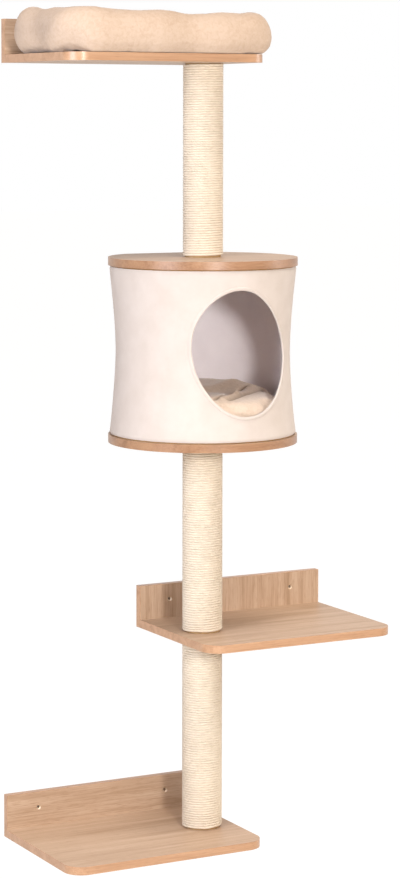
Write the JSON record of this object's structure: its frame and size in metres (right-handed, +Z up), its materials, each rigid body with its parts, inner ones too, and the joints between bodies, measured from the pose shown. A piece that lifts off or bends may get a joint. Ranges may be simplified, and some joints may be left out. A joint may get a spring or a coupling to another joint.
{
  "type": "wall mounted cat tree",
  "caption": "Tall wall mounted cat tree: shelves with wall panels, rope-wound posts, a round fabric condo with an entrance, and a plush bed on top.",
  "frame": {"origin": "on the wall plane, midway between the two screw holes of the lower wall panel", "axes": "+X along the wall to the right as seen from the room, +Y into the wall, +Z up"},
  "size_m": [0.687, 0.3345, 1.5523],
  "materials": {
    "laminate_board": "matt melamine laminate with a light oak grain",
    "edge_band": "satin edge banding with a light oak grain",
    "zinc_steel": "zinc plated",
    "cardboard": "spiral wound cardboard",
    "sisal_rope": "natural sisal rope",
    "raw_fibreboard": "raw fibreboard",
    "cover_fabric": "brushed suede-like knit, cream",
    "lining_fabric": "short-nap lining, pale grey",
    "cushion_plush": "short plush, beige",
    "bed_plush": "short plush, cream"
  },
  "bodies": {
    "root": {"lower_board": "laminate_board", "lower_board_edge_band": "edge_band", "lower_wall_panel": "laminate_board", "lower_panel_edge_band": "edge_band", "lower_panel_screws": "zinc_steel", "middle_board": "laminate_board", "middle_board_edge_band": "edge_band", "middle_wall_panel": "laminate_board", "middle_panel_edge_band": "edge_band", "middle_panel_screws": "zinc_steel", "upper_board": "laminate_board", "upper_board_edge_band": "edge_band", "upper_wall_panel": "laminate_board", "upper_panel_edge_band": "edge_band", "upper_panel_screws": "zinc_steel", "lower_post_tube": "cardboard", "lower_post_rope": "sisal_rope", "lower_post_bottom_plug": "raw_fibreboard", "lower_post_top_plug": "raw_fibreboard", "middle_post_tube": "cardboard", "middle_post_rope": "sisal_rope", "middle_post_bottom_plug": "raw_fibreboard", "middle_post_top_plug": "raw_fibreboard", "upper_post_tube": "cardboard", "upper_post_rope": "sisal_rope", "upper_post_bottom_plug": "raw_fibreboard", "upper_post_top_plug": "raw_fibreboard", "post_threaded_inserts": "zinc_steel", "joint_bolts": "zinc_steel", "joint_stud": "zinc_steel", "condo_floor": "laminate_board", "condo_floor_edge_band": "edge_band", "condo_roof": "laminate_board", "condo_roof_edge_band": "edge_band", "condo_floor_ring": "raw_fibreboard", "condo_roof_ring": "raw_fibreboard", "condo_ring_screws": "zinc_steel", "condo_cover": "cover_fabric", "condo_lining": "lining_fabric", "condo_hole_binding": "cover_fabric"},
    "bed": {"bed_bolster": "bed_plush", "bed_base_pad": "bed_plush"},
    "cushion": {"condo_cushion": "cushion_plush"}
  },
  "joints": [
    {"name": "bed_lift", "type": "slide", "parent": "root", "child": "bed", "axis": [0, 0, 1], "range_m": [0, 0.15]},
    {"name": "cushion_lift", "type": "slide", "parent": "root", "child": "cushion", "axis": [0, 0, 1], "range_m": [0, 0.06]}
  ]
}
